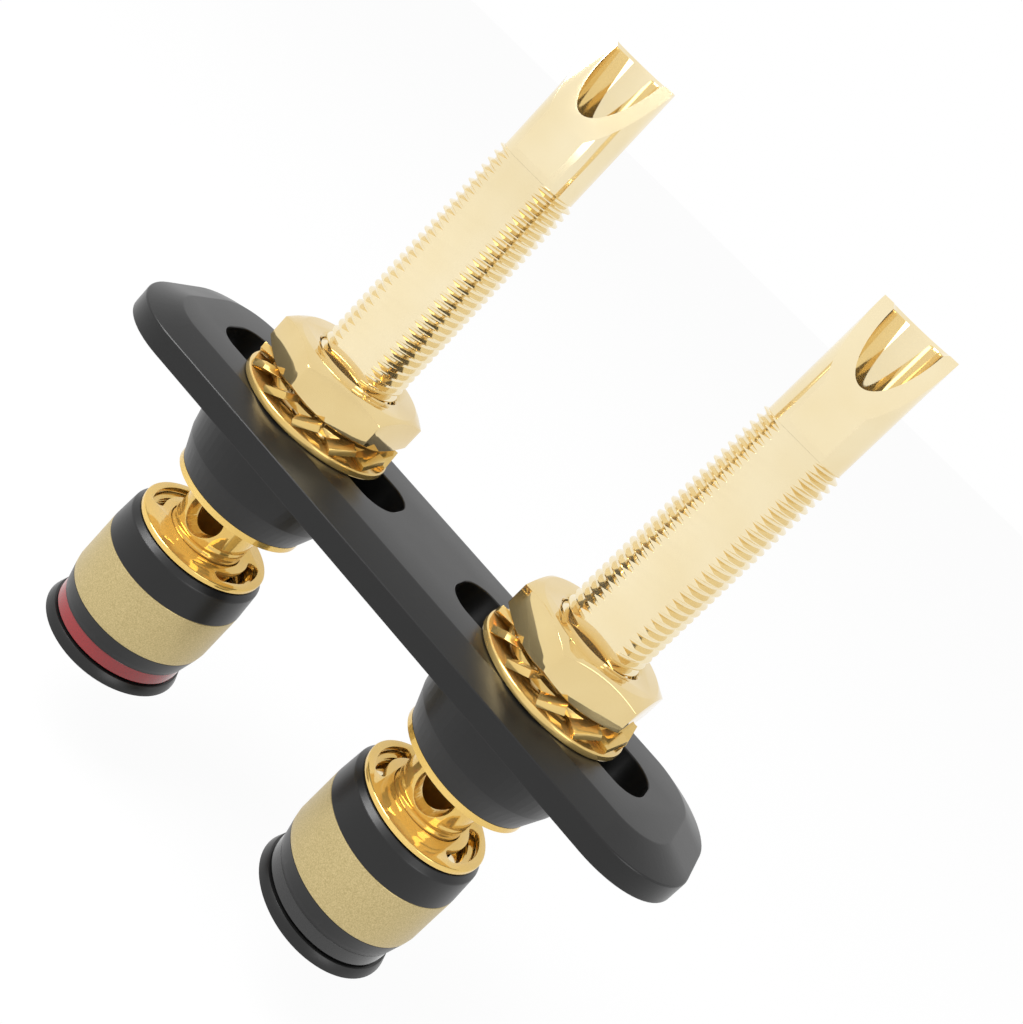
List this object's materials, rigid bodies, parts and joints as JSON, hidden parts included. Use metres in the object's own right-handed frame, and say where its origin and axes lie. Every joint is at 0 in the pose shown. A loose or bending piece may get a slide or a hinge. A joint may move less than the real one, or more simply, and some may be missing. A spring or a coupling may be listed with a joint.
{
  "type": "binding post pair",
  "caption": "Gold plated binding posts on a slotted black plate: threaded studs with solder cups and nuts, and screw knobs that clamp wires or spade lugs.",
  "frame": {"origin": "middle of the plate's nut side, halfway between the two post axes", "axes": "+Z along the threaded studs to their solder ends; +X from the red post to the black post; the solder cups are cut open towards -Y"},
  "size_m": [0.065, 0.0198, 0.0683],
  "materials": {
    "gold": "mirror polished gold plating",
    "satin": "bead blasted pale gold",
    "black": "satin",
    "plate": "satin",
    "ring_red": "gloss",
    "ring_black": "gloss"
  },
  "bodies": {
    "mount": {"plate": "plate", "post_red": "gold", "insulator_red": "black", "flat_washer_red": "gold", "tooth_washer_red": "gold", "hex_nut_red": "gold", "post_black": "gold", "insulator_black": "black", "flat_washer_black": "gold", "tooth_washer_black": "gold", "hex_nut_black": "gold"},
    "clamp_red": {"clamp_disc_red": "gold"},
    "knob_red": {"knob_core_red": "gold", "knob_shell_red": "black", "knob_sleeve_red": "satin", "knob_band_red": "black", "colour_ring_red": "ring_red"},
    "plug_red": {"end_plug_red": "black"},
    "clamp_black": {"clamp_disc_black": "gold"},
    "knob_black": {"knob_core_black": "gold", "knob_shell_black": "black", "knob_sleeve_black": "satin", "knob_band_black": "black", "colour_ring_black": "ring_black"},
    "plug_black": {"end_plug_black": "black"}
  },
  "joints": [
    {"name": "clamp_slide_red", "type": "slide", "parent": "mount", "child": "clamp_red", "axis": [0, 0, 1], "range_m": [-0.001, 0.0047]},
    {"name": "knob_turn_red", "type": "hinge", "parent": "clamp_red", "child": "knob_red", "pos_m": [-0.015, 0, -0.01485], "axis": [0, 0, 1], "range_deg": [-475, 2250]},
    {"name": "plug_pull_red", "type": "slide", "parent": "knob_red", "child": "plug_red", "axis": [0, 0, -1], "range_m": [0, 0.008]},
    {"name": "clamp_slide_black", "type": "slide", "parent": "mount", "child": "clamp_black", "axis": [0, 0, 1], "range_m": [-0.001, 0.0047]},
    {"name": "knob_turn_black", "type": "hinge", "parent": "clamp_black", "child": "knob_black", "pos_m": [0.015, 0, -0.01485], "axis": [0, 0, 1], "range_deg": [-475, 2250]},
    {"name": "plug_pull_black", "type": "slide", "parent": "knob_black", "child": "plug_black", "axis": [0, 0, -1], "range_m": [0, 0.008]}
  ],
  "couplings": [
    {"joint": "clamp_slide_red", "follows": "knob_turn_red", "m_per_rad": 0.00011937},
    {"joint": "clamp_slide_black", "follows": "knob_turn_black", "m_per_rad": 0.00011937}
  ]
}
